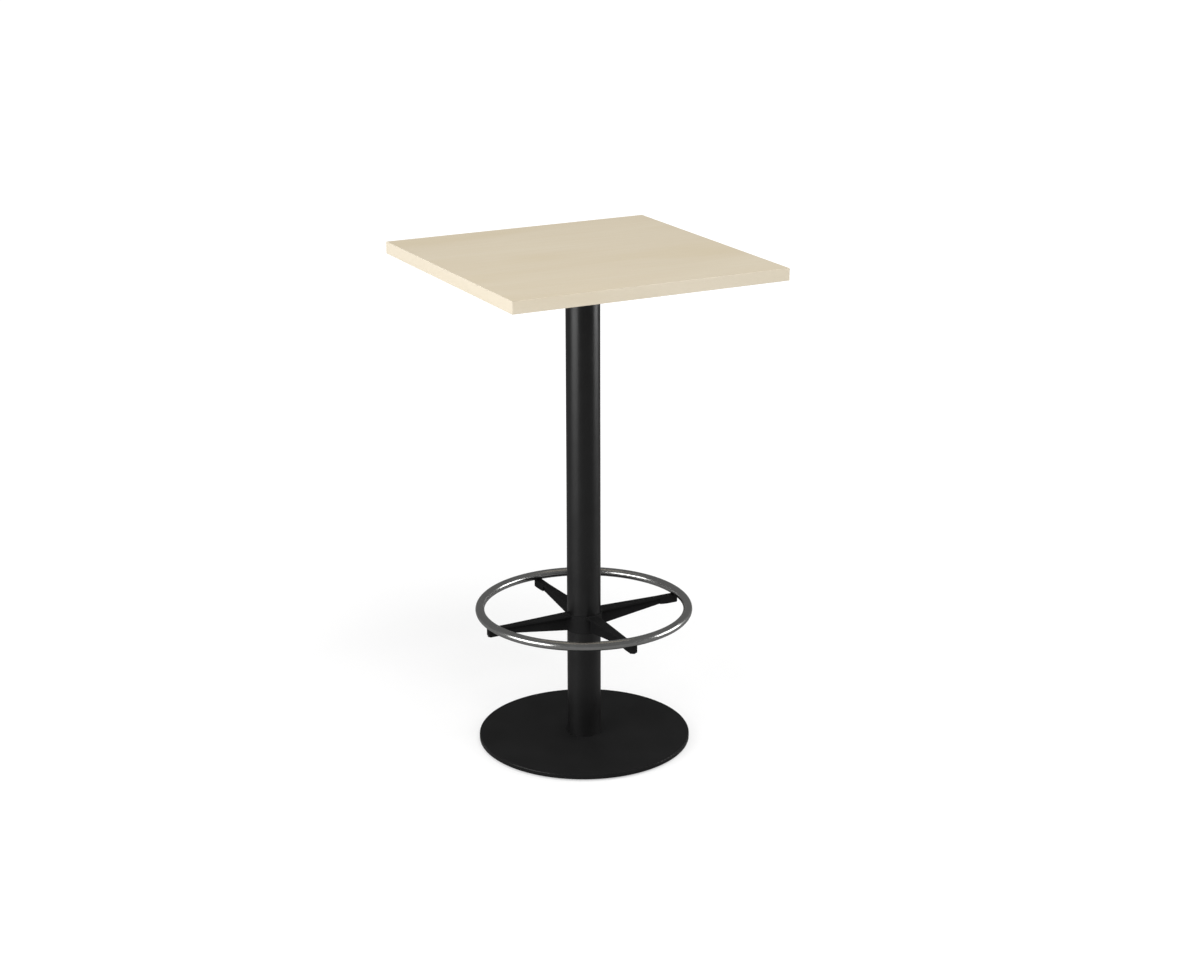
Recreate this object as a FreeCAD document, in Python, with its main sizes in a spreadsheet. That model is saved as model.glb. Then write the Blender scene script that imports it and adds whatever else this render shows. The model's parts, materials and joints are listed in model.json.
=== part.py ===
"""Bar-height pub table: a square laminated top on a round column, a flat disc base with four
levelling glides, and a foot ring carried by a cast spider whose collar is clamped to the column.

Frame: millimetres, +Z up, origin on the floor under the column, the top's sides along X and Y.
"""
import FreeCAD, Part
import Sketcher
import os
import re

doc = FreeCAD.newDocument("pub_table")

# ---- Driving sizes: one spreadsheet cell each -------------------------------------------------
SIZES = {
    # whole table
    "table_height": 1069.0,
    # square top: particle board between two laminates, edged with a flexible band
    "top_width": 609.6,
    "top_depth": 609.6,
    "top_thickness": 25.4,
    "laminate_thickness": 0.8,
    "band_thickness": 2.0,
    "band_edge_radius": 0.5,
    # cast spider that carries the top
    "spider_span": 400.0,
    "spider_hub_diameter": 88.0,
    "spider_socket_depth": 20.0,
    "spider_floor_thickness": 8.0,
    "spider_recess_diameter": 34.0,
    "spider_recess_depth": 15.0,
    "spider_plate_thickness": 6.0,
    "spider_root_width": 40.0,
    "spider_tip_width": 24.0,
    "spider_rib_thickness": 8.0,
    "spider_rib_radius": 150.0,
    "spider_rib_rise": 5.0,
    "spider_edge_radius": 1.5,
    "spider_tip_radius": 8.0,
    # wood screws that hold the top on the spider
    "inner_screw_radius": 164.0,
    "outer_screw_radius": 188.0,
    "wood_screw_diameter": 5.0,
    "wood_screw_length": 20.0,
    "wood_screw_point": 5.0,
    "wood_head_diameter": 9.5,
    "wood_head_height": 3.2,
    "wood_screw_end_gap": 0.2,
    "cross_span": 5.0,
    "cross_width": 1.5,
    "cross_depth": 1.8,
    # column
    "column_diameter": 72.0,
    "column_wall": 2.0,
    "column_end_chamfer": 0.5,
    "column_clearance": 0.2,
    # tie rod that draws spider, column and base together
    "rod_diameter": 10.0,
    "rod_chamfer": 1.0,
    "rod_end_gap": 3.0,
    "rod_stand_out": 1.2,
    "nut_flats": 16.0,
    "nut_height": 8.4,
    "nut_chamfer_angle": 30.0,
    "washer_diameter": 20.0,
    "washer_thickness": 2.0,
    "spring_washer_diameter": 17.6,
    "spring_washer_thickness": 2.2,
    # disc base
    "base_diameter": 455.0,
    "base_thickness": 10.0,
    "base_rim_radius": 2.0,
    "base_under_chamfer": 0.6,
    # boss that centres the column on the base
    "boss_height": 24.0,
    "boss_chamfer": 2.0,
    "boss_screw_circle": 44.0,
    "boss_screw_diameter": 8.0,
    "boss_screw_length": 24.0,
    "boss_head_diameter": 16.0,
    "boss_head_sink": 0.4,
    "boss_socket_flats": 5.0,
    "boss_socket_depth": 3.0,
    # levelling glides
    "glide_height": 4.0,
    "glide_circle": 390.0,
    "glide_pad_diameter": 30.0,
    "glide_pad_edge": 0.8,
    "glide_seat_gap": 0.2,
    "glide_sole": 1.0,
    "glide_notch_radius": 1.2,
    "glide_flange_diameter": 13.0,
    "glide_flange_thickness": 1.2,
    "stud_diameter": 8.0,
    "stud_grip": 8.0,
    "stud_end_gap": 0.5,
    "stud_chamfer": 0.8,
    # foot ring
    "ring_diameter": 444.4,
    "ring_height": 300.7,
    "ring_tube_diameter": 19.05,
    "ring_tube_wall": 2.0,
    # cast foot-ring spider: a collar and four tee-section arms
    "collar_clearance": 0.2,
    "collar_wall": 2.3,
    "collar_height": 39.1,
    "collar_edge_chamfer": 0.5,
    "saddle_depth": 1.2,
    "saddle_clearance": 0.05,
    "arm_root_radius": 33.0,
    "arm_root_width": 28.4,
    "arm_waist_width": 14.8,
    "arm_tip_width": 14.3,
    "arm_flange_thickness": 4.2,
    "arm_web_thickness": 8.0,
    "arm_root_depth": 37.1,
    "arm_waist_depth": 15.9,
    "arm_waist_reach": 37.5,
    "arm_foot_reach": 22.0,
    "arm_tip_depth": 17.2,
    "arm_tip_overhang": 3.4,
    "arm_overlap": 2.0,
    "arm_inner_radius": 2.5,
    "arm_edge_radius": 0.8,
    "arm_tip_radius": 2.5,
    # screws that hold the ring on the arm tips
    "ring_screw_diameter": 5.0,
    "ring_screw_length": 20.0,
    "ring_head_diameter": 9.4,
    "ring_socket_flats": 3.0,
    "ring_socket_depth": 1.6,
    # set screws that clamp the collar to the column, each in a round boss
    "set_boss_diameter": 12.5,
    "set_boss_reach": 42.5,
    "set_boss_root": 30.0,
    "set_screw_diameter": 6.0,
    "set_screw_inset": 0.15,
    "set_screw_drop": 20.0,
    "set_socket_flats": 3.0,
    "set_socket_depth": 2.0,
    # fits, thread ends, and how far a cutter runs past the face it enters or leaves
    "thread_clearance": 0.1,
    "hole_clearance": 0.5,
    "thread_runout": 2.0,
    "screw_end_chamfer": 1.0,
    "cut_overrun": 1.0,
}
ARMS = 4
BOSS_SCREWS = 4
GLIDE_NOTCHES = 12
SPRING_WASHER_TURN = 350
SET_SCREWS = 2
SET_SCREW_BEARING = 45
SET_SCREW_SPREAD = 90
FULL_TURN = 360
# lengths closer than this are taken as equal when edges are picked
TOUCH = 0.01

# ---- Places worked out from the sizes ---------------------------------------------------------
PLACES = {
    # heights above the floor
    "base_top": "glide_height + base_thickness",
    "top_underside": "table_height - top_thickness",
    "recess_floor": "top_underside - spider_recess_depth",
    "socket_ceiling": "recess_floor - spider_floor_thickness",
    "spider_bottom": "socket_ceiling - spider_socket_depth",
    "plate_underside": "top_underside - spider_plate_thickness",
    "spring_washer_bottom": "recess_floor + washer_thickness",
    "nut_bottom": "spring_washer_bottom + spring_washer_thickness",
    "rod_top": "nut_bottom + nut_height + rod_stand_out",
    "rod_bottom": "base_top + rod_end_gap",
    "ring_underside": "ring_height - ring_tube_diameter / 2",
    "arm_top": "ring_underside + saddle_depth",
    "collar_bottom": "arm_top - collar_height",
    "pad_top": "glide_height - glide_seat_gap",
    # radii and widths
    "column_radius": "column_diameter / 2",
    "column_bore_radius": "column_radius - column_wall",
    "socket_radius": "column_radius + column_clearance",
    "boss_radius": "column_bore_radius - column_clearance",
    "collar_bore_radius": "column_radius + collar_clearance",
    "collar_radius": "collar_bore_radius + collar_wall",
    "ring_radius": "ring_diameter / 2",
    "arm_waist_radius": "ring_radius - arm_waist_reach",
    "arm_foot_radius": "ring_radius - arm_foot_reach",
    "arm_end_radius": "ring_radius + arm_tip_overhang",
    "core_width": "top_width - 2 * band_thickness",
    "core_depth": "top_depth - 2 * band_thickness",
    "core_thickness": "top_thickness - 2 * laminate_thickness",
    "glide_offset": "glide_circle / 2 * cos(45)",
    "rod_hole_radius": "rod_diameter / 2 + hole_clearance",
    "boss_screw_radius": "boss_screw_circle / 2",
}

sheet = doc.addObject("Spreadsheet::Sheet", "Sizes")
for row, (alias, amount) in enumerate(SIZES.items(), start=1):
    sheet.set(f"A{row}", alias.replace("_", " "))
    sheet.set(f"B{row}", str(amount))
    sheet.setAlias(f"B{row}", alias)
doc.recompute()


def formula(text):
    """The expression for a phrase such as 'base_top + 2', down to the spreadsheet's cells."""
    def spell(match):
        word = match.group(0)
        if word in PLACES:
            return "(" + formula(PLACES[word]) + ")"
        if word in SIZES:
            return "Sizes." + word
        return word
    return re.sub(r"[a-z_]+", spell, text)


def value(text):
    """The number that a phrase gives with the present sizes."""
    return float(sheet.evalExpression(formula(text)))


def bind(item, prop, text):
    item.setExpression(prop, formula(text))


# ---- Helpers: bodies, sketches and features ---------------------------------------------------
sub_parts = []


def new_body(label):
    """A sub-part's body; several separate copies of one fastener may share it."""
    body = doc.addObject("PartDesign::Body", label)
    body.Label = label
    body.AllowCompound = True
    sub_parts.append(body)
    return body


def origin_feature(body, role):
    return next(item for item in body.Origin.OriginFeatures if item.Role == role)


def new_sketch(body, plane, name, along_x="0", along_y="0", along_normal="0"):
    """A sketch on one of the body's own origin planes, shifted by three phrases."""
    sketch = body.newObject("Sketcher::SketchObject", f"{body.Name}_{name}")
    sketch.AttachmentSupport = [(origin_feature(body, plane), "")]
    sketch.MapMode = "FlatFace"
    bind(sketch, ".AttachmentOffset.Base.x", along_x)
    bind(sketch, ".AttachmentOffset.Base.y", along_y)
    bind(sketch, ".AttachmentOffset.Base.z", along_normal)
    return sketch


def pin_point(sketch, geometry, end, across, up):
    """Dimension one end of a piece of geometry from the sketch's origin."""
    for kind, text in (("DistanceX", across), ("DistanceY", up)):
        index = sketch.addConstraint(
            Sketcher.Constraint(kind, -1, 1, geometry, end, value(text)))
        sketch.setExpression(f"Constraints[{index}]", formula(text))


def draw_outline(sketch, corners):
    """A closed outline. A corner is (across, up), or (across, up, radius) where it is rounded
    between one level and one upright edge."""
    spots = [(value(corner[0]), value(corner[1])) for corner in corners]
    count = len(corners)

    def towards(start, end):
        """Signs that step from one corner to the next along a level or upright edge."""
        (start_x, start_y), (end_x, end_y) = spots[start], spots[end % count]
        if abs(end_x - start_x) > abs(end_y - start_y):
            return ("+" if end_x > start_x else "-"), None
        return None, ("+" if end_y > start_y else "-")

    def step(corner, signs):
        across, up, radius = corner
        if signs[0]:
            return f"{across} {signs[0]} {radius}", up
        return across, f"{up} {signs[1]} {radius}"

    path = []
    for index, corner in enumerate(corners):
        if len(corner) == 2:
            path.append((corner, corner, None))
            continue
        arrive = step(corner, towards(index, index - 1))
        leave = step(corner, towards(index, index + 1))
        path.append((arrive, leave, corner))

    edges = []
    for index, (arrive, leave, rounded) in enumerate(path):
        if rounded:
            start = FreeCAD.Vector(value(arrive[0]), value(arrive[1]), 0)
            end = FreeCAD.Vector(value(leave[0]), value(leave[1]), 0)
            tip = FreeCAD.Vector(*spots[index], 0)
            centre = start + end - tip
            middle = centre + (tip - centre).normalize() * value(rounded[2])
            arc = sketch.addGeometry(Part.Arc(start, middle, end), False)
            arc_start = sketch.getPoint(arc, 1)
            forwards = arc_start.distanceToPoint(start) < arc_start.distanceToPoint(end)
            first_end, last_end = (1, 2) if forwards else (2, 1)
            edges.append((arc, first_end, last_end))
            pin_point(sketch, arc, first_end, *arrive)
            pin_point(sketch, arc, last_end, *leave)
            radius_constraint = sketch.addConstraint(
                Sketcher.Constraint("Radius", arc, value(rounded[2])))
            sketch.setExpression(f"Constraints[{radius_constraint}]", formula(rounded[2]))
        following = path[(index + 1) % count]
        line = sketch.addGeometry(Part.LineSegment(
            FreeCAD.Vector(value(leave[0]), value(leave[1]), 0),
            FreeCAD.Vector(value(following[0][0]), value(following[0][1]), 0)), False)
        edges.append((line, 1, 2))
        if not rounded:
            pin_point(sketch, line, 1, *leave)
    for (geometry, _, end), (after, start, _) in zip(edges, edges[1:] + edges[:1]):
        sketch.addConstraint(Sketcher.Constraint("Coincident", geometry, end, after, start))


def draw_circle(sketch, across, up, radius):
    centre = FreeCAD.Vector(value(across), value(up), 0)
    circle = sketch.addGeometry(
        Part.Circle(centre, FreeCAD.Vector(0, 0, 1), value(radius)), False)
    pin_point(sketch, circle, 3, across, up)
    index = sketch.addConstraint(Sketcher.Constraint("Radius", circle, value(radius)))
    sketch.setExpression(f"Constraints[{index}]", formula(radius))


def rectangle(low_x, low_y, high_x, high_y):
    return [(low_x, low_y), (high_x, low_y), (high_x, high_y), (low_x, high_y)]


def hexagon(flats):
    """Corners of a hexagon of the given width across flats, centred on the sketch's origin."""
    return [(f"{flats} / sqrt(3) * cos({60 * corner})", f"{flats} / sqrt(3) * sin({60 * corner})")
            for corner in range(6)]


def cross(span, width):
    """Corners of an upright cross centred on the sketch's origin."""
    far, near = f"{span} / 2", f"{width} / 2"
    quarter = [(far, near), (near, near), (near, far)]
    corners = []
    for sign_x, sign_y, order in (("", "", 1), ("-", "", -1), ("-", "-", 1), ("", "-", -1)):
        corners += [(sign_x + across, sign_y + up) for across, up in quarter[::order]]
    return corners


def add_feature(body, kind, sketch, name, **settings):
    feature = body.newObject(f"PartDesign::{kind}", f"{body.Name}_{name}")
    feature.Profile = sketch
    for prop, setting in settings.items():
        setattr(feature, prop, setting)
    return feature


def pad(body, sketch, name, length, **settings):
    feature = add_feature(body, "Pad", sketch, name, **settings)
    bind(feature, "Length", length)
    return feature


def pocket(body, sketch, name, depth, **settings):
    feature = add_feature(body, "Pocket", sketch, name, **settings)
    bind(feature, "Length", depth)
    return feature


def cut_recess(body, name, across, bottom, corners, depth):
    """A driver's recess cut upwards into the head of a screw."""
    sketch = new_sketch(body, "XY_Plane", name, along_x=across, along_normal=bottom)
    draw_outline(sketch, corners)
    return pocket(body, sketch, f"{name}_cut", depth, Reversed=True)


def turn(body, sketch, name, angle=FULL_TURN):
    return add_feature(body, "Revolution", sketch, name,
                       ReferenceAxis=(sketch, ["V_Axis"]), Angle=angle)


def turn_away(body, sketch, name):
    return add_feature(body, "Groove", sketch, name,
                       ReferenceAxis=(sketch, ["V_Axis"]), Angle=FULL_TURN)


def repeat(body, features, name, count, angle=FULL_TURN):
    """Copies of features around the body's upright axis."""
    pattern = body.newObject("PartDesign::PolarPattern", f"{body.Name}_{name}")
    pattern.Originals = features
    pattern.Axis = (origin_feature(body, "Z_Axis"), [""])
    pattern.Angle = angle
    pattern.Occurrences = count
    body.Tip = pattern
    return pattern


def soften(body, kind, name, amount, chosen):
    """Fillet or chamfer every edge of the body so far for which chosen(edge) holds."""
    doc.recompute()
    base = body.Tip
    names = [f"Edge{number}" for number, edge in enumerate(base.Shape.Edges, start=1)
             if chosen(edge)]
    feature = body.newObject(f"PartDesign::{kind}", f"{body.Name}_{name}")
    feature.Base = (base, names)
    bind(feature, "Radius" if kind == "Fillet" else "Size", amount)
    return feature


def flat_at(edge, height):
    """Whether the whole edge lies at one height."""
    box = edge.BoundBox
    return abs(box.ZMin - height) < TOUCH and abs(box.ZMax - height) < TOUCH


def round_edge(edge, radius, height):
    """Whether the edge is a circle about the upright axis with this radius and height."""
    curve = edge.Curve
    return (isinstance(curve, Part.Circle) and abs(curve.Radius - radius) < TOUCH
            and flat_at(edge, height))


# ---- The square top ---------------------------------------------------------------------------
def screw_holes(body, start, depth, radius, **settings):
    """Holes for the eight wood screws, two on each arm of the top's spider."""
    sketch = new_sketch(body, "XY_Plane", "screw_holes", along_normal=start)
    draw_circle(sketch, "inner_screw_radius", "0", radius)
    draw_circle(sketch, "outer_screw_radius", "0", radius)
    holes = pocket(body, sketch, "screw_hole_pair", depth, **settings)
    repeat(body, [holes], "screw_hole_pairs", ARMS)


def sheet_body(label, bottom, thickness):
    """A rectangular sheet between the edge bands."""
    body = new_body(label)
    sketch = new_sketch(body, "XY_Plane", "outline", along_normal=bottom)
    draw_outline(sketch, rectangle("-core_width / 2", "-core_depth / 2",
                                   "core_width / 2", "core_depth / 2"))
    pad(body, sketch, "sheet", thickness)
    return body


def make_top_sheets():
    pilot = "wood_screw_diameter / 2 + thread_clearance"
    core = sheet_body("tabletop_core", "top_underside + laminate_thickness", "core_thickness")
    screw_holes(core, "top_underside + laminate_thickness",
                "wood_screw_length - spider_plate_thickness", pilot, Reversed=True)
    sheet_body("top_laminate", "table_height - laminate_thickness", "laminate_thickness")
    backing = sheet_body("backing_laminate", "top_underside", "laminate_thickness")
    screw_holes(backing, "top_underside", "laminate_thickness", pilot, Reversed=True)


def make_edge_band(label, low_x, low_y, high_x, high_y, outer):
    """A band as tall as the top; outer(edge) picks its exposed arrises."""
    body = new_body(label)
    sketch = new_sketch(body, "XY_Plane", "outline", along_normal="top_underside")
    draw_outline(sketch, rectangle(low_x, low_y, high_x, high_y))
    pad(body, sketch, "band", "top_thickness")
    soften(body, "Fillet", "arris", "band_edge_radius", outer)


def make_edge_bands():
    half_width, half_depth = value("top_width / 2"), value("top_depth / 2")

    def on_side(edge):
        """Edges of a long band on the top's left or right face."""
        box = edge.BoundBox
        return abs(abs(box.XMin) - half_width) < TOUCH and abs(abs(box.XMax) - half_width) < TOUCH

    def on_front_or_back(edge):
        """Level edges of a short band on the top's front or back face."""
        box = edge.BoundBox
        return (abs(abs(box.YMin) - half_depth) < TOUCH and abs(abs(box.YMax) - half_depth) < TOUCH
                and box.XLength > box.ZLength)

    make_edge_band("edge_band_left", "-top_width / 2", "-top_depth / 2",
                   "-core_width / 2", "top_depth / 2", on_side)
    make_edge_band("edge_band_right", "core_width / 2", "-top_depth / 2",
                   "top_width / 2", "top_depth / 2", on_side)
    make_edge_band("edge_band_front", "-core_width / 2", "-top_depth / 2",
                   "core_width / 2", "-core_depth / 2", on_front_or_back)
    make_edge_band("edge_band_back", "-core_width / 2", "core_depth / 2",
                   "core_width / 2", "top_depth / 2", on_front_or_back)


# ---- The spider that carries the top ----------------------------------------------------------
def make_top_spider():
    """A hub that sits over the column's end, with four ribbed arms under the top."""
    body = new_body("top_spider")
    profile = new_sketch(body, "XZ_Plane", "hub_profile")
    draw_outline(profile, rectangle("0", "spider_bottom", "spider_hub_diameter / 2", "top_underside"))
    turn(body, profile, "hub")

    plate = new_sketch(body, "XY_Plane", "arm_plan", along_normal="plate_underside")
    draw_outline(plate, [
        ("0", "-spider_root_width / 2"),
        ("spider_span / 2", "-spider_tip_width / 2"),
        ("spider_span / 2", "spider_tip_width / 2"),
        ("0", "spider_root_width / 2")])
    arm_plate = pad(body, plate, "arm_plate", "spider_plate_thickness")

    side = new_sketch(body, "XZ_Plane", "rib_side")
    draw_outline(side, [
        ("socket_radius", "plate_underside"),
        ("socket_radius", "spider_bottom + spider_rib_rise"),
        ("spider_hub_diameter / 2", "spider_bottom + spider_rib_rise"),
        ("spider_rib_radius", "plate_underside")])
    rib = pad(body, side, "rib", "spider_rib_thickness", Midplane=True)
    repeat(body, [arm_plate, rib], "arms", ARMS)

    tip = value("spider_span / 2")

    def tip_corner(edge):
        """Upright edges at the free ends of the arms."""
        box = edge.BoundBox
        at_tip = max(abs(box.XMin), abs(box.YMin)) > tip - TOUCH
        return at_tip and box.ZLength > max(box.XLength, box.YLength)

    soften(body, "Fillet", "tip_corners", "spider_tip_radius", tip_corner)

    bore = new_sketch(body, "XZ_Plane", "bore_profile")
    draw_outline(bore, [
        ("0", "spider_bottom - cut_overrun"),
        ("socket_radius", "spider_bottom - cut_overrun"),
        ("socket_radius", "socket_ceiling"),
        ("rod_hole_radius", "socket_ceiling"),
        ("rod_hole_radius", "recess_floor"),
        ("spider_recess_diameter / 2", "recess_floor"),
        ("spider_recess_diameter / 2", "top_underside + cut_overrun"),
        ("0", "top_underside + cut_overrun")])
    turn_away(body, bore, "bore")
    screw_holes(body, "plate_underside", "spider_plate_thickness",
                "wood_screw_diameter / 2 + thread_clearance", Reversed=True)

    bottom = value("spider_bottom")
    soften(body, "Fillet", "hub_edge", "spider_edge_radius",
           lambda edge: round_edge(edge, value("spider_hub_diameter / 2"), bottom))


def make_spider_screws():
    """Eight cross-recessed pan-head wood screws, two up through each arm into the core."""
    body = new_body("spider_screws")
    shank = "wood_screw_diameter / 2"
    head = "wood_head_diameter / 2"
    made = []
    for name, radius in (("inner", "inner_screw_radius"), ("outer", "outer_screw_radius")):
        sketch = new_sketch(body, "XZ_Plane", f"{name}_profile",
                            along_x=radius, along_y="plate_underside")
        draw_outline(sketch, [
            ("0", "-wood_head_height"),
            (head, "-wood_head_height", "wood_head_height / 2"),
            (head, "0"),
            (shank, "0"),
            (shank, "wood_screw_length - wood_screw_point"),
            ("0", "wood_screw_length - wood_screw_end_gap")])
        made.append(turn(body, sketch, f"{name}_screw"))
        made.append(cut_recess(body, f"{name}_cross", radius, "plate_underside - wood_head_height",
                               cross("cross_span", "cross_width"), "cross_depth"))
    repeat(body, made, "screws", ARMS)


# ---- Column and tie rod -----------------------------------------------------------------------
def make_column():
    """A plain round tube between the base and the spider's socket."""
    body = new_body("column_tube")
    sketch = new_sketch(body, "XY_Plane", "section", along_normal="base_top")
    draw_circle(sketch, "0", "0", "column_radius")
    draw_circle(sketch, "0", "0", "column_bore_radius")
    pad(body, sketch, "tube", "socket_ceiling - base_top")
    ends = (value("base_top"), value("socket_ceiling"))
    soften(body, "Chamfer", "bore_ends", "column_end_chamfer",
           lambda edge: any(round_edge(edge, value("column_bore_radius"), end) for end in ends))


def make_tie_rod():
    body = new_body("tie_rod")
    sketch = new_sketch(body, "XZ_Plane", "profile")
    radius = "rod_diameter / 2"
    draw_outline(sketch, [
        ("0", "rod_bottom"),
        (f"{radius} - rod_chamfer", "rod_bottom"),
        (radius, "rod_bottom + rod_chamfer"),
        (radius, "rod_top - rod_chamfer"),
        (f"{radius} - rod_chamfer", "rod_top"),
        ("0", "rod_top")])
    turn(body, sketch, "rod")


def make_washer(label, bottom, thickness, outer, angle):
    body = new_body(label)
    sketch = new_sketch(body, "XZ_Plane", "profile", along_y=bottom)
    draw_outline(sketch, rectangle("rod_diameter / 2 + thread_clearance", "0", outer, thickness))
    turn(body, sketch, "ring", angle)


def make_nut():
    """A hexagon nut with chamfered corners on both faces."""
    body = new_body("tie_rod_nut")
    plan = new_sketch(body, "XY_Plane", "hexagon", along_normal="nut_bottom")
    draw_outline(plan, hexagon("nut_flats"))
    pad(body, plan, "blank", "nut_height")
    thread = new_sketch(body, "XY_Plane", "thread", along_normal="nut_bottom")
    draw_circle(thread, "0", "0", "rod_diameter / 2 + thread_clearance")
    pocket(body, thread, "bore", "nut_height", Reversed=True)
    for name, face, inward in (("lower", "0", "+"), ("upper", "nut_height", "-")):
        corner = new_sketch(body, "XZ_Plane", f"{name}_corner", along_y=f"nut_bottom + {face}")
        outward = "-" if inward == "+" else "+"
        draw_outline(corner, [
            ("nut_flats / 2", "0"),
            ("nut_flats / 2 + nut_flats / 4", f"0 {inward} nut_flats / 4 * tan(nut_chamfer_angle)"),
            ("nut_flats / 2 + nut_flats / 4", f"0 {outward} nut_flats / 8"),
            ("nut_flats / 2", f"0 {outward} nut_flats / 8")])
        turn_away(body, corner, f"{name}_chamfer")


def make_tie_rod_set():
    make_tie_rod()
    make_washer("tie_rod_washer", "recess_floor", "washer_thickness", "washer_diameter / 2",
                FULL_TURN)
    make_washer("tie_rod_spring_washer", "spring_washer_bottom", "spring_washer_thickness",
                "spring_washer_diameter / 2", SPRING_WASHER_TURN)
    make_nut()


# ---- Disc base --------------------------------------------------------------------------------
def countersunk_profile(shank, head, sink, length):
    """Half profile of a countersunk screw whose flat head faces down at height 0."""
    return [
        ("0", sink),
        (head, sink),
        (shank, f"{sink} + {head} - {shank}"),
        (shank, f"{length} - screw_end_chamfer"),
        (f"{shank} - screw_end_chamfer", length),
        ("0", length)]


def make_base_plate():
    """A solid disc with a rounded rim, countersunk for the boss screws and tapped for glides."""
    body = new_body("base_plate")
    sketch = new_sketch(body, "XZ_Plane", "profile")
    rim = "base_diameter / 2"
    draw_outline(sketch, [
        ("0", "glide_height"),
        (f"{rim} - base_under_chamfer", "glide_height"),
        (rim, "glide_height + base_under_chamfer"),
        (rim, "base_top", "base_rim_radius"),
        ("0", "base_top")])
    turn(body, sketch, "disc")

    hole = new_sketch(body, "XZ_Plane", "screw_hole", along_x="boss_screw_radius",
                      along_y="glide_height")
    clear = "boss_screw_diameter / 2 + thread_clearance"
    head = "boss_head_diameter / 2 + thread_clearance"
    draw_outline(hole, [
        ("0", "-cut_overrun"),
        (head, "-cut_overrun"),
        (head, "boss_head_sink"),
        (clear, f"boss_head_sink + {head} - ({clear})"),
        (clear, "base_thickness + cut_overrun"),
        ("0", "base_thickness + cut_overrun")])
    repeat(body, [turn_away(body, hole, "countersink")], "countersinks", BOSS_SCREWS)

    glide = new_sketch(body, "XY_Plane", "glide_hole", along_normal="glide_height")
    draw_circle(glide, "glide_offset", "glide_offset", "stud_diameter / 2 + thread_clearance")
    glide_hole = pocket(body, glide, "glide_hole_cut", "stud_grip + stud_end_gap", Reversed=True)
    repeat(body, [glide_hole], "glide_holes", ARMS)


def make_column_boss():
    """A turned boss that centres the tube and takes the tie rod's lower thread."""
    body = new_body("column_boss")
    sketch = new_sketch(body, "XZ_Plane", "profile", along_y="base_top")
    draw_outline(sketch, [
        ("rod_diameter / 2 + thread_clearance", "0"),
        ("boss_radius", "0"),
        ("boss_radius", "boss_height - boss_chamfer"),
        ("boss_radius - boss_chamfer", "boss_height"),
        ("rod_diameter / 2 + thread_clearance", "boss_height")])
    turn(body, sketch, "blank")
    tapped = new_sketch(body, "XY_Plane", "tapped_hole", along_normal="base_top")
    draw_circle(tapped, "boss_screw_radius", "0", "boss_screw_diameter / 2 + thread_clearance")
    hole = pocket(body, tapped, "tapped_hole_cut",
                  "boss_screw_length - base_thickness + thread_runout", Reversed=True)
    repeat(body, [hole], "tapped_holes", BOSS_SCREWS)


def make_boss_screws():
    """Countersunk screws up through the base into the boss."""
    body = new_body("boss_screws")
    sketch = new_sketch(body, "XZ_Plane", "profile", along_x="boss_screw_radius",
                        along_y="glide_height")
    draw_outline(sketch, countersunk_profile("boss_screw_diameter / 2", "boss_head_diameter / 2",
                                             "boss_head_sink", "boss_screw_length"))
    screw = turn(body, sketch, "screw")
    socket = cut_recess(body, "socket", "boss_screw_radius", "glide_height + boss_head_sink",
                        hexagon("boss_socket_flats"), "boss_socket_depth")
    repeat(body, [screw, socket], "screws", BOSS_SCREWS)


# ---- Levelling glides -------------------------------------------------------------------------
def place_glide(body, side_x, side_y):
    bind(body, "Placement.Base.x", f"{side_x} * glide_offset")
    bind(body, "Placement.Base.y", f"{side_y} * glide_offset")


def make_glide_stud(label, side_x, side_y):
    """A threaded stud whose flange is held in the pad."""
    body = new_body(label)
    sketch = new_sketch(body, "XZ_Plane", "profile")
    radius = "stud_diameter / 2"
    flange = "glide_flange_diameter / 2"
    bottom = "glide_sole + thread_clearance"
    draw_outline(sketch, [
        ("0", bottom),
        (flange, bottom),
        (flange, f"{bottom} + glide_flange_thickness"),
        (radius, f"{bottom} + glide_flange_thickness"),
        (radius, "glide_height + stud_grip - stud_chamfer"),
        (f"{radius} - stud_chamfer", "glide_height + stud_grip"),
        ("0", "glide_height + stud_grip")])
    turn(body, sketch, "stud")
    place_glide(body, side_x, side_y)


def make_glide_pad(label, side_x, side_y):
    """A round sole moulded about the stud's flange, with finger notches around its rim."""
    body = new_body(label)
    sketch = new_sketch(body, "XZ_Plane", "profile")
    rim = "glide_pad_diameter / 2"
    flange = "glide_flange_diameter / 2 + thread_clearance"
    neck = "stud_diameter / 2 + thread_clearance"
    cavity_top = "glide_sole + glide_flange_thickness + 2 * thread_clearance"
    draw_outline(sketch, [
        ("0", "0"),
        (f"{rim} - glide_pad_edge", "0"),
        (rim, "glide_pad_edge"),
        (rim, "pad_top", "glide_pad_edge"),
        (neck, "pad_top"),
        (neck, cavity_top),
        (flange, cavity_top),
        (flange, "glide_sole"),
        ("0", "glide_sole")])
    turn(body, sketch, "pad")
    notch = new_sketch(body, "XY_Plane", "notch")
    draw_circle(notch, f"{rim} + glide_notch_radius / 2", "0", "glide_notch_radius")
    notch_cut = pocket(body, notch, "notch_cut", "pad_top", Reversed=True)
    repeat(body, [notch_cut], "notches", GLIDE_NOTCHES)
    place_glide(body, side_x, side_y)


GLIDE_CORNERS = {
    "front_left": (-1, -1),
    "front_right": (1, -1),
    "back_right": (1, 1),
    "back_left": (-1, 1),
}


def make_glides():
    for corner, sides in GLIDE_CORNERS.items():
        make_glide_stud(f"glide_stud_{corner}", *sides)
        make_glide_pad(f"glide_pad_{corner}", *sides)


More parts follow.
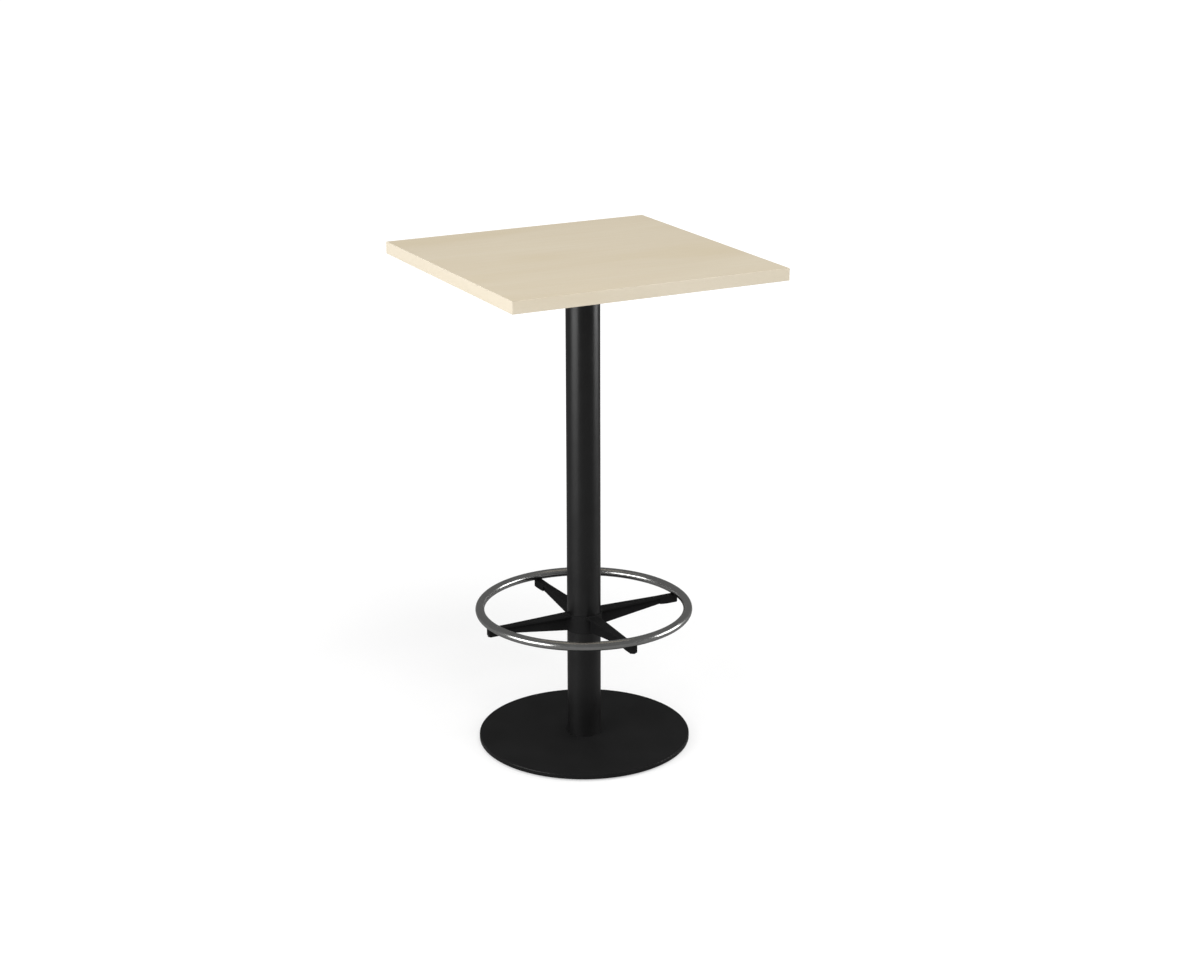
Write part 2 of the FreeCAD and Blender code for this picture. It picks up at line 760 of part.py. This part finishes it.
# ---- Foot ring --------------------------------------------------------------------------------
def make_ring():
    """A rolled tube, drilled from below over each arm's tip."""
    body = new_body("foot_ring_tube")
    sketch = new_sketch(body, "XZ_Plane", "section")
    draw_circle(sketch, "ring_radius", "ring_height", "ring_tube_diameter / 2")
    draw_circle(sketch, "ring_radius", "ring_height", "ring_tube_diameter / 2 - ring_tube_wall")
    turn(body, sketch, "ring")
    drilled = new_sketch(body, "XY_Plane", "screw_hole", along_normal="ring_underside - cut_overrun")
    draw_circle(drilled, "ring_radius", "0", "ring_screw_diameter / 2 + thread_clearance")
    hole = pocket(body, drilled, "screw_hole_cut", "ring_tube_wall + 2 * cut_overrun",
                  Reversed=True)
    repeat(body, [hole], "screw_holes", ARMS)


def tee_section(body, name, radius, flange_width, depth):
    """Section across an arm: a level flange on a deep web, filleted where they meet."""
    sketch = new_sketch(body, "YZ_Plane", name, along_y="arm_top", along_normal=radius)
    flange = f"({flange_width}) / 2"
    web = "arm_web_thickness / 2"
    under = "-arm_flange_thickness"
    draw_outline(sketch, [
        (f"-{flange}", "0", "arm_edge_radius"),
        (f"-{flange}", under, "arm_edge_radius"),
        (f"-{web}", under, "arm_inner_radius"),
        (f"-{web}", f"-({depth})", "arm_edge_radius"),
        (web, f"-({depth})", "arm_edge_radius"),
        (web, under, "arm_inner_radius"),
        (flange, under, "arm_edge_radius"),
        (flange, "0", "arm_edge_radius")])
    return sketch


def make_foot_ring_spider():
    """A collar with four tapering tee-section arms, each ending in a solid foot under the ring."""
    body = new_body("foot_ring_spider")
    collar = new_sketch(body, "XZ_Plane", "collar_profile")
    edge = "collar_edge_chamfer"
    draw_outline(collar, [
        ("0", "collar_bottom"),
        (f"collar_radius - {edge}", "collar_bottom"),
        ("collar_radius", f"collar_bottom + {edge}"),
        ("collar_radius", f"arm_top - {edge}"),
        (f"collar_radius - {edge}", "arm_top"),
        ("0", "arm_top")])
    turn(body, collar, "collar")
    boss = set_screw_sketch(body, "set_screw_boss", "set_boss_diameter / 2", "set_boss_root")
    boss_pad = pad(body, boss, "set_screw_boss_pad", "set_boss_reach - set_boss_root")
    repeat(body, [boss_pad], "set_screw_bosses", SET_SCREWS, angle=SET_SCREW_SPREAD)

    root = tee_section(body, "root_section", "arm_root_radius", "arm_root_width", "arm_root_depth")
    waist = tee_section(body, "waist_section", "arm_waist_radius", "arm_waist_width",
                        "arm_waist_depth")
    arm = add_feature(body, "AdditiveLoft", root, "arm", Sections=[waist], Ruled=True)

    foot = new_sketch(body, "XZ_Plane", "foot_side", along_y="arm_top")
    draw_outline(foot, [
        ("arm_waist_radius - arm_overlap", "0"),
        ("arm_waist_radius - arm_overlap", "-arm_waist_depth + arm_edge_radius"),
        ("arm_waist_radius", "-arm_waist_depth"),
        ("arm_foot_radius", "-arm_tip_depth"),
        ("arm_end_radius", "-arm_tip_depth", "arm_tip_radius"),
        ("arm_end_radius", "0")])
    foot_pad = pad(body, foot, "foot", "arm_tip_width", Midplane=True)
    repeat(body, [arm, foot_pad], "arms", ARMS)

    bore = new_sketch(body, "XZ_Plane", "bore_profile")
    draw_outline(bore, rectangle("0", "collar_bottom - cut_overrun",
                                 "collar_bore_radius", "arm_top + cut_overrun"))
    turn_away(body, bore, "bore")

    saddle = new_sketch(body, "XZ_Plane", "saddle_profile")
    draw_circle(saddle, "ring_radius", "ring_height", "ring_tube_diameter / 2 + saddle_clearance")
    turn_away(body, saddle, "saddles")

    hole = new_sketch(body, "XZ_Plane", "ring_screw_hole", along_x="ring_radius",
                      along_y="arm_top - arm_tip_depth")
    clear = "ring_screw_diameter / 2 + thread_clearance"
    head = "ring_head_diameter / 2 + thread_clearance"
    draw_outline(hole, [
        ("0", "-cut_overrun"),
        (head, "-cut_overrun"),
        (head, "0"),
        (clear, f"{head} - ({clear})"),
        (clear, "arm_tip_depth + cut_overrun"),
        ("0", "arm_tip_depth + cut_overrun")])
    repeat(body, [turn_away(body, hole, "ring_screw_hole_cut")], "ring_screw_holes", ARMS)

    tapped = set_screw_sketch(body, "set_screw_hole", "set_screw_diameter / 2 + thread_clearance",
                              "collar_bore_radius - cut_overrun")
    tapped_hole = pocket(body, tapped, "set_screw_hole_cut",
                         "set_boss_reach - collar_bore_radius + 2 * cut_overrun", Reversed=True)
    repeat(body, [tapped_hole], "set_screw_holes", SET_SCREWS, angle=SET_SCREW_SPREAD)


def set_screw_sketch(body, name, radius, distance):
    """A circle on an upright plane that faces out between the right and back arms."""
    sketch = new_sketch(body, "YZ_Plane", name)
    sketch.AttachmentOffset = FreeCAD.Placement(
        FreeCAD.Vector(), FreeCAD.Rotation(FreeCAD.Vector(0, 1, 0), SET_SCREW_BEARING))
    for prop, text in (("x", f"({distance}) * sin({SET_SCREW_BEARING})"),
                       ("y", "arm_top - set_screw_drop"),
                       ("z", f"({distance}) * cos({SET_SCREW_BEARING})")):
        bind(sketch, f".AttachmentOffset.Base.{prop}", text)
    if radius:
        draw_circle(sketch, "0", "0", radius)
    return sketch


def make_set_screws():
    """Two headless socket screws in the bosses on the collar's back."""
    body = new_body("collar_set_screws")
    shank = set_screw_sketch(body, "shank", "set_screw_diameter / 2",
                             "collar_bore_radius + set_screw_inset / 2")
    screw = pad(body, shank, "screw", "set_boss_reach - collar_bore_radius - set_screw_inset")
    face = set_screw_sketch(body, "socket", None, "set_boss_reach - set_screw_inset / 2")
    draw_outline(face, hexagon("set_socket_flats"))
    socket = pocket(body, face, "socket_cut", "set_socket_depth")
    repeat(body, [screw, socket], "screws", SET_SCREWS, angle=SET_SCREW_SPREAD)


def make_ring_screws():
    """Countersunk screws up through the arm tips into the ring."""
    body = new_body("foot_ring_screws")
    sketch = new_sketch(body, "XZ_Plane", "profile", along_x="ring_radius",
                        along_y="arm_top - arm_tip_depth")
    draw_outline(sketch, countersunk_profile("ring_screw_diameter / 2", "ring_head_diameter / 2",
                                             "0", "ring_screw_length"))
    screw = turn(body, sketch, "screw")
    socket = cut_recess(body, "socket", "ring_radius", "arm_top - arm_tip_depth",
                        hexagon("ring_socket_flats"), "ring_socket_depth")
    repeat(body, [screw, socket], "screws", ARMS)


# ---- Build, check and write -------------------------------------------------------------------
make_top_sheets()
make_edge_bands()
make_top_spider()
make_spider_screws()
make_column()
make_tie_rod_set()
make_base_plate()
make_column_boss()
make_boss_screws()
make_glides()
make_ring()
make_foot_ring_spider()
make_ring_screws()
make_set_screws()
doc.recompute()

for item in doc.Objects:
    if "Invalid" in item.State or "Error" in item.State:
        raise RuntimeError(f"{item.Label} did not recompute: {item.State}")
for body in sub_parts:
    if body.Shape.isNull() or not body.Shape.isValid():
        raise RuntimeError(f"{body.Label} has no valid shape")

os.makedirs("parts", exist_ok=True)
for body in sub_parts:
    body.Shape.exportStep(f"parts/{body.Label}.step")
    print(f"{body.Label}: {len(body.Shape.Solids)} solids, {body.Shape.Volume / 1000:.1f} cm3")
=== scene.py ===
"""Looks of the pub table: camera, studio light and a node material for every piece of the frame."""

import json
import math

import bpy
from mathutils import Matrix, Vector

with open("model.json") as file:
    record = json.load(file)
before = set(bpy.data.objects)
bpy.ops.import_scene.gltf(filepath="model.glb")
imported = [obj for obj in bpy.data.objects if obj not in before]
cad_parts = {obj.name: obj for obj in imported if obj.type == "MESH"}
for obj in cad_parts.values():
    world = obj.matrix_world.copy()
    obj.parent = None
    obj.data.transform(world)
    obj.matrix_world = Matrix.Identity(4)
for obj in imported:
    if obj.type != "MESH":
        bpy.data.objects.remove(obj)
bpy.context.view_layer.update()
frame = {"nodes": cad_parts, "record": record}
NODES = frame["nodes"]

# ---- Camera -----------------------------------------------------------------------------------
IMAGE_WIDTH_PX = 1200
FOCAL_LENGTH_PX = 2251.35
LENS_CENTRE_PX = 608.5    # across the image, from its left edge
SENSOR_MM = 36.0
CAMERA_AT = (-2.05922, -3.99935, 2.04491)
CAMERA_PITCH = 17.963     # degrees below level
CAMERA_YAW = -27.914      # degrees, turned from +Y
CLIP_START, CLIP_END = 0.05, 60


def make_camera():
    data = bpy.data.cameras.new("camera")
    data.sensor_width = SENSOR_MM
    data.lens = FOCAL_LENGTH_PX / IMAGE_WIDTH_PX * SENSOR_MM
    data.shift_x = 0.5 - LENS_CENTRE_PX / IMAGE_WIDTH_PX
    data.clip_start, data.clip_end = CLIP_START, CLIP_END
    camera = bpy.data.objects.new("camera", data)
    camera.location = CAMERA_AT
    camera.rotation_euler = (math.radians(90 - CAMERA_PITCH), 0, math.radians(CAMERA_YAW))
    bpy.context.collection.objects.link(camera)
    bpy.context.scene.camera = camera


# ---- Node helpers -----------------------------------------------------------------------------
MIX_FACTOR, MIX_FIRST, MIX_SECOND, MIX_RESULT = 0, 6, 7, 2    # a colour Mix node's sockets
NOISE_RANGE = (0.3, 0.7)      # where nearly all values of a noise texture lie


def srgb(red, green, blue):
    """Linear colour from display values of 0 to 255."""
    def linear(level):
        level /= 255
        return level / 12.92 if level <= 0.04045 else ((level + 0.055) / 1.055) ** 2.4
    return linear(red), linear(green), linear(blue)


def feed(tree, socket, setting):
    """Links another node's output to the socket, or sets it to a number or a linear colour."""
    if isinstance(setting, bpy.types.NodeSocket):
        tree.links.new(setting, socket)
    elif isinstance(setting, tuple):
        socket.default_value = (*setting, 1)
    else:
        socket.default_value = setting


def maths(tree, operation, first, second):
    node = tree.nodes.new("ShaderNodeMath")
    node.operation = operation
    feed(tree, node.inputs[0], first)
    feed(tree, node.inputs[1], second)
    return node.outputs[0]


def mix_colour(tree, factor, first, second):
    node = tree.nodes.new("ShaderNodeMix")
    node.data_type = "RGBA"
    feed(tree, node.inputs[MIX_FACTOR], factor)
    feed(tree, node.inputs[MIX_FIRST], first)
    feed(tree, node.inputs[MIX_SECOND], second)
    return node.outputs[MIX_RESULT]


def map_range(tree, source, low, high, source_range=NOISE_RANGE):
    node = tree.nodes.new("ShaderNodeMapRange")
    node.inputs["From Min"].default_value, node.inputs["From Max"].default_value = source_range
    node.inputs["To Min"].default_value = low
    node.inputs["To Max"].default_value = high
    tree.links.new(source, node.inputs["Value"])
    return node.outputs["Result"]


def colour_ramp(tree, source, stops):
    """stops: (position, linear colour) pairs."""
    node = tree.nodes.new("ShaderNodeValToRGB")
    elements = node.color_ramp.elements
    while len(elements) < len(stops):
        elements.new(0.5)
    for element, (position, colour) in zip(elements, stops):
        element.position = position
        element.color = (*colour, 1)
    tree.links.new(source, node.inputs["Fac"])
    return node.outputs["Color"]


def object_point(tree, per_metre):
    """Object coordinates, multiplied by how many features fit in a metre along each axis."""
    coordinates = tree.nodes.new("ShaderNodeTexCoord").outputs["Object"]
    mapping = tree.nodes.new("ShaderNodeMapping")
    mapping.inputs["Scale"].default_value = per_metre
    tree.links.new(coordinates, mapping.inputs["Vector"])
    return mapping.outputs["Vector"]


def alike(per_metre):
    """The same number of features in a metre along every axis."""
    return per_metre, per_metre, per_metre


def distance_from_axis(tree):
    radius = tree.nodes.new("ShaderNodeVectorMath")
    radius.operation = "LENGTH"
    tree.links.new(object_point(tree, (1, 1, 0)), radius.inputs[0])
    return radius.outputs["Value"]


def noise(tree, per_metre, detail=2.0, distortion=0.0, roughness=0.5):
    node = tree.nodes.new("ShaderNodeTexNoise")
    node.inputs["Scale"].default_value = 1.0
    node.inputs["Detail"].default_value = detail
    node.inputs["Roughness"].default_value = roughness
    node.inputs["Distortion"].default_value = distortion
    tree.links.new(object_point(tree, per_metre), node.inputs["Vector"])
    return node.outputs["Fac"]


def bump(tree, shader, height, distance, strength=1.0):
    """Relief on the shader, distance metres deep, added to any that it has already."""
    node = tree.nodes.new("ShaderNodeBump")
    node.inputs["Strength"].default_value = strength
    node.inputs["Distance"].default_value = distance
    tree.links.new(height, node.inputs["Height"])
    normal = shader.inputs["Normal"]
    if normal.is_linked:
        tree.links.new(normal.links[0].from_socket, node.inputs["Normal"])
    tree.links.new(node.outputs["Normal"], normal)


# ---- Studio: lights, world and floor ----------------------------------------------------------
# Bearings go round the table from the camera, in degrees to the camera's right.
CAMERA_BEARING = math.degrees(math.atan2(CAMERA_AT[1], CAMERA_AT[0]))
RIGHT_BEARING = 95.8
SIDE_DISTANCE = 3.4           # of the upright lamps from the column
SIDE_FOOT = 0.05              # their lower edge, over the floor
LEFT_GLOSS_TOP = 1.55         # where the left lamp stops showing in gloss
PANEL_DISTANCE = 9.0
PANEL_AIM = Vector((0, 0, 1.0))
DIFFUSE_SKY, GLOSSY_SKY = 0.60, 0.15
FLOOR_SIZE = 40.0
FLOOR_GREY, FLOOR_GLOSSY_GREY = 0.45, 0.17
FLOOR_GLOW = (0.52, 0.80)     # near the table, so that its shadow shows, and away from it
FLOOR_GLOW_REACH = (0.8, 3.0) # distances from the column between which it changes


def new_lamp(name, width, height, radiance):
    """A rectangular lamp. radiance is that of its face, where 1 is white."""
    data = bpy.data.lights.new(name, "AREA")
    data.shape = "RECTANGLE"
    data.size, data.size_y = width, height
    data.energy = radiance * math.pi * width * height
    lamp = bpy.data.objects.new(name, data)
    bpy.context.collection.objects.link(lamp)
    return lamp


def round_table(right_of_camera, distance, height):
    bearing = math.radians(CAMERA_BEARING + right_of_camera)
    return Vector((distance * math.cos(bearing), distance * math.sin(bearing), height))


def soft_box(name, right_of_camera, width, bottom, top, radiance):
    """An upright lamp that faces the column."""
    lamp = new_lamp(name, width, top - bottom, radiance)
    lamp.location = round_table(right_of_camera, SIDE_DISTANCE, (bottom + top) / 2)
    lamp.rotation_euler = (math.radians(90), 0, math.radians(CAMERA_BEARING + right_of_camera + 90))
    return lamp


def far_panel(name, right_of_camera, elevation, side, radiance):
    """A large square lamp far off, for matt surfaces only, tilted to face the table."""
    lamp = new_lamp(name, side, side, radiance)
    rise = math.radians(elevation)
    away = round_table(right_of_camera, PANEL_DISTANCE * math.cos(rise),
                       PANEL_DISTANCE * math.sin(rise))
    lamp.location = PANEL_AIM + away
    lamp.rotation_euler = away.to_track_quat("Z", "Y").to_euler()
    lamp.visible_glossy = False


def make_lights():
    left = {"right_of_camera": -56, "width": 2.7, "radiance": 4.5}
    soft_box("side_left", bottom=SIDE_FOOT, top=LEFT_GLOSS_TOP, **left)
    # it goes on upwards for matt surfaces only, so that the tabletop holds little glare
    upper = soft_box("side_left_upper", bottom=LEFT_GLOSS_TOP, top=2.5, **left)
    upper.visible_glossy = False
    # this one shows in gloss alone: matt surfaces get its light from farther off, so evenly
    right = soft_box("side_right", RIGHT_BEARING, width=2.1, bottom=SIDE_FOOT, top=1.4,
                     radiance=4.1)
    right.visible_diffuse = False
    far_panel("right_fill", RIGHT_BEARING, elevation=10, side=5.3, radiance=3.45)
    far_panel("front_fill", right_of_camera=25, elevation=54, side=5.6, radiance=4.62)


def light_path(tree, output):
    return tree.nodes.new("ShaderNodeLightPath").outputs[output]


def seen_directly(tree):
    """1 for a ray that comes to the camera, straight or through something clear, or else 0."""
    return maths(tree, "MAXIMUM", light_path(tree, "Is Camera Ray"),
                 light_path(tree, "Is Transmission Ray"))


def matt_or_glossy(tree, matt, glossy):
    """The second level for the rays of a reflection, and the first for all others."""
    step = maths(tree, "MULTIPLY", light_path(tree, "Is Glossy Ray"), glossy - matt)
    return maths(tree, "ADD", matt, step)


def make_world():
    """White behind the table, and a dim even sky for light and reflections."""
    world = bpy.data.worlds.new("studio")
    world.use_nodes = True
    tree = world.node_tree
    background = tree.nodes["Background"]
    background.inputs["Color"].default_value = (1, 1, 1, 1)
    sky = matt_or_glossy(tree, DIFFUSE_SKY, GLOSSY_SKY)
    feed(tree, background.inputs["Strength"], maths(tree, "MAXIMUM", seen_directly(tree), sky))
    bpy.context.scene.world = world


def make_floor():
    """A pale floor that reads white to the camera and still takes the table's soft shadow."""
    mesh = bpy.data.meshes.new("floor")
    half = FLOOR_SIZE / 2
    mesh.from_pydata([(-half, -half, 0), (half, -half, 0), (half, half, 0), (-half, half, 0)],
                     [], [(0, 1, 2, 3)])
    floor = bpy.data.objects.new("floor", mesh)
    bpy.context.collection.objects.link(floor)
    material = bpy.data.materials.new("floor")
    material.use_nodes = True
    tree = material.node_tree
    tree.nodes.remove(tree.nodes["Principled BSDF"])
    diffuse = tree.nodes.new("ShaderNodeBsdfDiffuse")
    feed(tree, diffuse.inputs["Color"], matt_or_glossy(tree, FLOOR_GREY, FLOOR_GLOSSY_GREY))
    glow = tree.nodes.new("ShaderNodeEmission")
    level = map_range(tree, distance_from_axis(tree), *FLOOR_GLOW, FLOOR_GLOW_REACH)
    feed(tree, glow.inputs["Strength"], maths(tree, "MULTIPLY", seen_directly(tree), level))
    both = tree.nodes.new("ShaderNodeAddShader")
    tree.links.new(diffuse.outputs[0], both.inputs[0])
    tree.links.new(glow.outputs[0], both.inputs[1])
    tree.links.new(both.outputs[0], tree.nodes["Material Output"].inputs["Surface"])
    mesh.materials.append(material)


# ---- Materials --------------------------------------------------------------------------------
# Tones are linear colours. Relief and radii are in metres.
ALONG_X, ALONG_Y = 0, 1
MAPLE = (srgb(216, 205, 183), srgb(214, 202, 179), srgb(211, 198, 172))
MAPLE_BAND = (srgb(219, 209, 190), srgb(214, 204, 184), srgb(208, 196, 173))
FLECK = srgb(190, 172, 142)
FLECK_RANGE = (0.62, 0.8)     # noise values over which the flecks come in
COAT_TINT = (1.0, 1.0, 1.02)
PAINTED_HUB_SHEEN_EDGE = (0.0395, 0.045)    # radii between which the painted sheen on the turned hub gives way to the arms
RIM_EDGE = (0.2253, 0.2258)   # radii between which the disc's face gives way to its rounded rim
STAINLESS, STAINLESS_BRIGHT = (0.57, 0.57, 0.56), (0.65, 0.65, 0.64)
ZINC = (0.50, 0.51, 0.54)
BARE_STEEL = (0.36, 0.36, 0.37)
BLACK_OXIDE = (0.03, 0.03, 0.032)
NYLON, NYLON_WORN = (0.010, 0.010, 0.010), (0.02, 0.02, 0.02)
BACKING, BACKING_PALE = srgb(196, 188, 174), srgb(210, 203, 190)
CHIPS = ((0.35, srgb(132, 104, 70)), (0.5, srgb(176, 146, 104)), (0.65, srgb(206, 180, 138)))
ROD_PITCH, STUD_PITCH = 0.0015, 0.00125
THREAD_DEPTH = 0.6            # of the pitch
WAVE_PERIOD = math.pi / 10    # of the wave texture at a scale of 1


def new_material(name, roughness, metallic=0.0, specular=0.5):
    material = bpy.data.materials.new(name)
    material.use_nodes = True
    shader = material.node_tree.nodes["Principled BSDF"]
    shader.inputs["Roughness"].default_value = roughness
    shader.inputs["Metallic"].default_value = metallic
    shader.inputs["Specular IOR Level"].default_value = specular
    return material, material.node_tree, shader


def times(tone, factor):
    return tuple(channel * factor for channel in tone)


def maple(name, grain_axis, tones, specular, roughness=0.42):
    """Pale maple woodgrain decor in light, middle and dark tones."""
    material, tree, shader = new_material(name, roughness, specular=specular)
    light, middle, dark = tones

    def stretched(along_grain, across):
        scale = list(alike(across))
        scale[grain_axis] = along_grain
        return tuple(scale)
    bands = noise(tree, stretched(2.0, 9), detail=4, distortion=0.7)
    streaks = noise(tree, stretched(5, 110), detail=5, roughness=0.6)
    flecks = noise(tree, stretched(45, 900), detail=2)
    tone = colour_ramp(tree, bands, [(0.30, dark), (0.50, middle), (0.68, light)])
    streaked = mix_colour(tree, map_range(tree, streaks, 0.0, 0.30), tone, dark)
    flecked = mix_colour(tree, map_range(tree, flecks, 0.0, 0.16, FLECK_RANGE), streaked, FLECK)
    feed(tree, shader.inputs["Base Color"], flecked)
    feed(tree, shader.inputs["Roughness"],
         map_range(tree, streaks, roughness - 0.05, roughness + 0.06))
    bump(tree, shader, flecks, 0.00004, strength=0.35)
    return material


def powder_coat(name, level=0.006, roughness=0.325, grain=2400, relief=0.00002, specular=0.5,
                painted_hub_sheen=None, rim_roughness=None):
    """Satin black powder coat with its fine orange-peel surface. Where a hub level is given, a
    casting's coat is painted paler on the turned hub round the column. This is a painted sheen that
    stands in for the glossy reflection the column shows. A disc's coat is smoother over its turned
    rim, where rim_roughness is given."""
    material, tree, shader = new_material(name, roughness, specular=specular)
    cloud = noise(tree, alike(14), detail=3)
    shade = times(COAT_TINT, level)
    colour = mix_colour(tree, map_range(tree, cloud, 0, 1), shade, times(shade, 1.35))
    # painted sheen: the hub round the column gets a paler colour in place of the reflection that
    # the column shows
    if painted_hub_sheen:
        off_painted_sheen = map_range(tree, distance_from_axis(tree), 0, 1, PAINTED_HUB_SHEEN_EDGE)
        colour = mix_colour(tree, off_painted_sheen, times(COAT_TINT, painted_hub_sheen), colour)
    feed(tree, shader.inputs["Base Color"], colour)
    sheen = map_range(tree, cloud, roughness - 0.03, roughness + 0.04)
    if rim_roughness:
        change = map_range(tree, distance_from_axis(tree), 0, rim_roughness - roughness, RIM_EDGE)
        sheen = maths(tree, "ADD", sheen, change)
    feed(tree, shader.inputs["Roughness"], sheen)
    bump(tree, shader, noise(tree, alike(grain), detail=1), relief, strength=0.5)
    return material


def stainless(name):
    """Polished stainless tube: bright, with faint fine scratches."""
    material, tree, shader = new_material(name, 0.2, metallic=1.0)
    haze = noise(tree, alike(60), detail=4)
    scratches = noise(tree, (900, 900, 9000), detail=2)
    feed(tree, shader.inputs["Base Color"], mix_colour(tree, haze, STAINLESS, STAINLESS_BRIGHT))
    feed(tree, shader.inputs["Roughness"], map_range(tree, haze, 0.18, 0.25))
    bump(tree, shader, scratches, 0.000002, strength=0.15)
    return material


def plated_steel(name, tone, roughness=0.35):
    material, tree, shader = new_material(name, roughness, metallic=1.0)
    cloud = noise(tree, alike(180), detail=3)
    feed(tree, shader.inputs["Base Color"], mix_colour(tree, cloud, tone, times(tone, 1.2)))
    feed(tree, shader.inputs["Roughness"],
         map_range(tree, cloud, roughness - 0.08, roughness + 0.08))
    bump(tree, shader, noise(tree, alike(2500)), 0.00001, strength=0.4)
    return material


def threaded_steel(name, pitch):
    """Zinc-plated thread with its flanks as fine rings along the axis."""
    material = plated_steel(name, ZINC)
    tree = material.node_tree
    flanks = tree.nodes.new("ShaderNodeTexWave")
    flanks.bands_direction = "Z"
    flanks.wave_profile = "TRI"
    flanks.inputs["Scale"].default_value = 1.0
    feed(tree, flanks.inputs["Vector"], object_point(tree, alike(WAVE_PERIOD / pitch)))
    bump(tree, tree.nodes["Principled BSDF"], flanks.outputs["Fac"], pitch * THREAD_DEPTH)
    return material


def speckled(name, roughness, per_metre, detail, tones, relief, strength):
    """A matt material in two tones that its own grain mixes."""
    material, tree, shader = new_material(name, roughness)
    grain = noise(tree, alike(per_metre), detail=detail)
    feed(tree, shader.inputs["Base Color"], mix_colour(tree, grain, *tones))
    bump(tree, shader, grain, relief, strength)
    return material


def particle_board(name):
    material, tree, shader = new_material(name, 0.85)
    chips = noise(tree, (260, 260, 700), detail=4)
    feed(tree, shader.inputs["Base Color"], colour_ramp(tree, chips, CHIPS))
    bump(tree, shader, chips, 0.0002, strength=0.6)
    return material


def dress_nodes():
    by_slot = {
        "maple_laminate": maple("maple_laminate", ALONG_X, MAPLE, specular=0.2),
        "maple_edge_band": maple("maple_edge_band", ALONG_X, MAPLE_BAND, specular=0.1),
        "particle_board": particle_board("particle_board"),
        "backing_laminate": speckled("backing_laminate", 0.6, per_metre=600, detail=3,
                                     tones=(BACKING, BACKING_PALE), relief=0.00003, strength=0.3),
        "black_powder_coat": powder_coat("black_powder_coat"),
        # its hub is painted paler, a painted sheen in place of the column's glossy reflection
        "black_cast_iron": powder_coat("black_cast_iron", level=0.0084, roughness=0.5, grain=1300,
                                       relief=0.00005, specular=0.05, painted_hub_sheen=0.0135),
        "polished_stainless": stainless("polished_stainless"),
        "zinc_plated_steel": plated_steel("zinc_plated_steel", ZINC),
        "bare_steel": plated_steel("bare_steel", BARE_STEEL, roughness=0.3),
        "black_oxide_steel": plated_steel("black_oxide_steel", BLACK_OXIDE, roughness=0.45),
        "black_nylon": speckled("black_nylon", 0.55, per_metre=3000, detail=1,
                                tones=(NYLON, NYLON_WORN), relief=0.00003, strength=0.5),
    }
    side_band = maple("maple_edge_band_sides", ALONG_Y, MAPLE_BAND, specular=0.1)
    by_node = {
        "edge_band_left": side_band,
        "edge_band_right": side_band,
        "base_plate": powder_coat("black_powder_coat_base", level=0.0074, roughness=0.8,
                                  specular=0.25, rim_roughness=0.26),
        "tie_rod": threaded_steel("threaded_rod", ROD_PITCH),
    }
    stud_thread = threaded_steel("threaded_stud", STUD_PITCH)
    for entry in frame["record"]["subparts"]:
        node = entry["node"]
        finish = by_node.get(node, by_slot[entry["material_slot"]])
        if node.startswith("glide_stud"):
            finish = stud_thread
        for slot in NODES[node].material_slots:
            slot.material = finish


# ---- Assemble ---------------------------------------------------------------------------------
bpy.context.scene.view_settings.view_transform = "Standard"
make_camera()
make_world()
make_floor()
make_lights()
dress_nodes()
